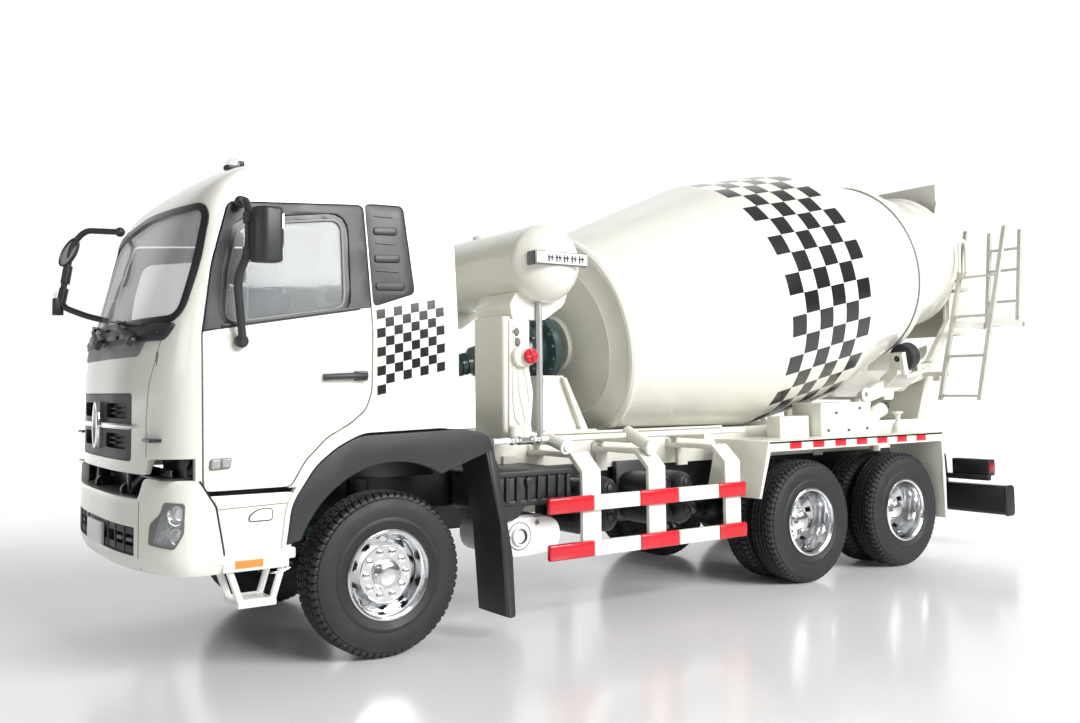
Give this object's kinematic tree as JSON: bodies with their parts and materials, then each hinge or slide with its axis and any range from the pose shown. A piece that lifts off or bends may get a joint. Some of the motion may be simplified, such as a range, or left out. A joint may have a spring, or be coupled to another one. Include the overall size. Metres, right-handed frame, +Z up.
{
  "type": "toy concrete mixer truck",
  "caption": "Toy 6x4 concrete mixer truck with a turning drum, a tilting cab, opening doors, steered wheels, a folding ladder and a swivelling chute.",
  "frame": {"origin": "on the ground, under the middle of the truck's box", "axes": "-X is the front of the truck, +Y is its right side, +Z is up"},
  "size_m": [0.4146, 0.132, 0.169],
  "materials": {
    "ivory_paint": "gloss",
    "black_frame": "satin",
    "charcoal_plastic": "satin",
    "teal_paint": "satin",
    "steel": "brushed",
    "chrome_rim": "polished",
    "tyre_rubber": "matte",
    "clear_glass": "clear",
    "lamp_lens": "clear",
    "red_plastic": "gloss",
    "guard_paint": "gloss",
    "interior_plastic": "matte"
  },
  "bodies": {
    "chassis": {"chassis_frame": "black_frame", "front_axle_beam": "black_frame", "rear_axle_housings": "black_frame", "leaf_springs": "black_frame", "prop_shafts": "steel", "engine": "teal_paint", "subframe": "ivory_paint", "front_pedestal": "ivory_paint", "rear_pedestal": "ivory_paint", "drum_gearbox": "teal_paint", "tank_stand": "ivory_paint", "water_tank": "ivory_paint", "battery_box": "black_frame", "muffler": "steel", "air_tanks": "black_frame", "front_bumper": "ivory_paint", "headlights": "lamp_lens", "cab_steps": "ivory_paint", "wheel_arches": "charcoal_plastic", "guard_posts": "ivory_paint", "guard_rails": "guard_paint", "rear_fenders": "ivory_paint", "rear_bumper": "black_frame", "tail_lamps": "red_plastic", "hopper": "ivory_paint", "rear_ladder": "ivory_paint"},
    "cab": {"cab_shell": "ivory_paint", "windscreen": "clear_glass", "front_grille": "charcoal_plastic", "cab_interior": "interior_plastic", "wipers": "charcoal_plastic", "side_louvres": "charcoal_plastic", "mirror_right": "charcoal_plastic"},
    "steering_wheel": {"steering_wheel": "charcoal_plastic"},
    "door_left": {"door_left": "ivory_paint", "door_glass_left": "clear_glass", "mirror_left": "charcoal_plastic"},
    "door_right": {"door_right": "ivory_paint", "door_glass_right": "clear_glass"},
    "drum": {"drum_shell": "ivory_paint", "track_ring": "steel"},
    "roller_left": {"drum_roller_left": "charcoal_plastic"},
    "roller_right": {"drum_roller_right": "charcoal_plastic"},
    "knuckle_left": {"knuckle_left": "black_frame"},
    "knuckle_right": {"knuckle_right": "black_frame"},
    "front_wheel_left": {"tyre_front_left": "tyre_rubber", "rim_front_left": "chrome_rim"},
    "front_wheel_right": {"tyre_front_right": "tyre_rubber", "rim_front_right": "chrome_rim"},
    "mid_wheels_left": {"tyres_mid_left": "tyre_rubber", "rims_mid_left": "chrome_rim"},
    "mid_wheels_right": {"tyres_mid_right": "tyre_rubber", "rims_mid_right": "chrome_rim"},
    "rear_wheels_left": {"tyres_rear_left": "tyre_rubber", "rims_rear_left": "chrome_rim"},
    "rear_wheels_right": {"tyres_rear_right": "tyre_rubber", "rims_rear_right": "chrome_rim"},
    "ladder_fold": {"folding_ladder": "ivory_paint"},
    "chute_bracket": {"chute_bracket": "ivory_paint"},
    "chute": {"chute": "ivory_paint"}
  },
  "joints": [
    {"name": "cab_tilt", "type": "hinge", "parent": "chassis", "child": "cab", "pos_m": [-0.1997, 0, 0.047], "axis": [0, -1, 0], "range_deg": [0, 45]},
    {"name": "door_left_hinge", "type": "hinge", "parent": "cab", "child": "door_left", "pos_m": [-0.1909, -0.0519, 0.085], "axis": [0, 0, -1], "range_deg": [0, 65]},
    {"name": "door_right_hinge", "type": "hinge", "parent": "cab", "child": "door_right", "pos_m": [-0.1909, 0.0519, 0.085], "axis": [0, 0, 1], "range_deg": [0, 65]},
    {"name": "steering_wheel_turn", "type": "hinge", "parent": "cab", "child": "steering_wheel", "pos_m": [-0.1871, -0.024, 0.0806], "axis": [0.766, 0, 0.6428], "range_deg": [-180, 180]},
    {"name": "drum_spin", "type": "hinge", "parent": "chassis", "child": "drum", "pos_m": [-0.041, 0, 0.0914], "axis": [0.9794, 0, 0.2021], "continuous": true},
    {"name": "roller_left_spin", "type": "hinge", "parent": "chassis", "child": "roller_left", "pos_m": [0.13012, -0.02587, 0.08604], "axis": [0.9794, 0, 0.2021], "continuous": true},
    {"name": "roller_right_spin", "type": "hinge", "parent": "chassis", "child": "roller_right", "pos_m": [0.13012, 0.02587, 0.08604], "axis": [0.9794, 0, 0.2021], "continuous": true},
    {"name": "steer_left", "type": "hinge", "parent": "chassis", "child": "knuckle_left", "pos_m": [-0.1397, -0.031, 0.0227], "axis": [0, 0, 1], "range_deg": [-22, 22]},
    {"name": "steer_right", "type": "hinge", "parent": "chassis", "child": "knuckle_right", "pos_m": [-0.1397, 0.031, 0.0227], "axis": [0, 0, 1], "range_deg": [-22, 22]},
    {"name": "front_wheel_left_spin", "type": "hinge", "parent": "knuckle_left", "child": "front_wheel_left", "pos_m": [-0.1397, -0.044, 0.0227], "axis": [0, 1, 0], "continuous": true},
    {"name": "front_wheel_right_spin", "type": "hinge", "parent": "knuckle_right", "child": "front_wheel_right", "pos_m": [-0.1397, 0.044, 0.0227], "axis": [0, 1, 0], "continuous": true},
    {"name": "mid_wheels_left_spin", "type": "hinge", "parent": "chassis", "child": "mid_wheels_left", "pos_m": [0.0336, -0.039, 0.0227], "axis": [0, 1, 0], "continuous": true},
    {"name": "mid_wheels_right_spin", "type": "hinge", "parent": "chassis", "child": "mid_wheels_right", "pos_m": [0.0336, 0.039, 0.0227], "axis": [0, 1, 0], "continuous": true},
    {"name": "rear_wheels_left_spin", "type": "hinge", "parent": "chassis", "child": "rear_wheels_left", "pos_m": [0.0911, -0.039, 0.0227], "axis": [0, 1, 0], "continuous": true},
    {"name": "rear_wheels_right_spin", "type": "hinge", "parent": "chassis", "child": "rear_wheels_right", "pos_m": [0.0911, 0.039, 0.0227], "axis": [0, 1, 0], "continuous": true},
    {"name": "ladder_unfold", "type": "hinge", "parent": "chassis", "child": "ladder_fold", "pos_m": [0.1859, -0.038, 0.101], "axis": [0, 1, 0], "range_deg": [0, 165]},
    {"name": "chute_swivel", "type": "hinge", "parent": "chassis", "child": "chute_bracket", "pos_m": [0.1783, 0, 0.066], "axis": [0, 0, 1], "range_deg": [-155, 15]},
    {"name": "chute_tilt", "type": "hinge", "parent": "chute_bracket", "child": "chute", "pos_m": [0.17985, 0.0058, 0.085], "axis": [-0.9659, 0.2588, 0], "range_deg": [-10, 25]}
  ],
  "couplings": [
    {"joint": "roller_left_spin", "follows": "drum_spin", "ratio": -6.8667},
    {"joint": "roller_right_spin", "follows": "drum_spin", "ratio": -6.8667},
    {"joint": "steer_right", "follows": "steer_left", "ratio": 1}
  ]
}
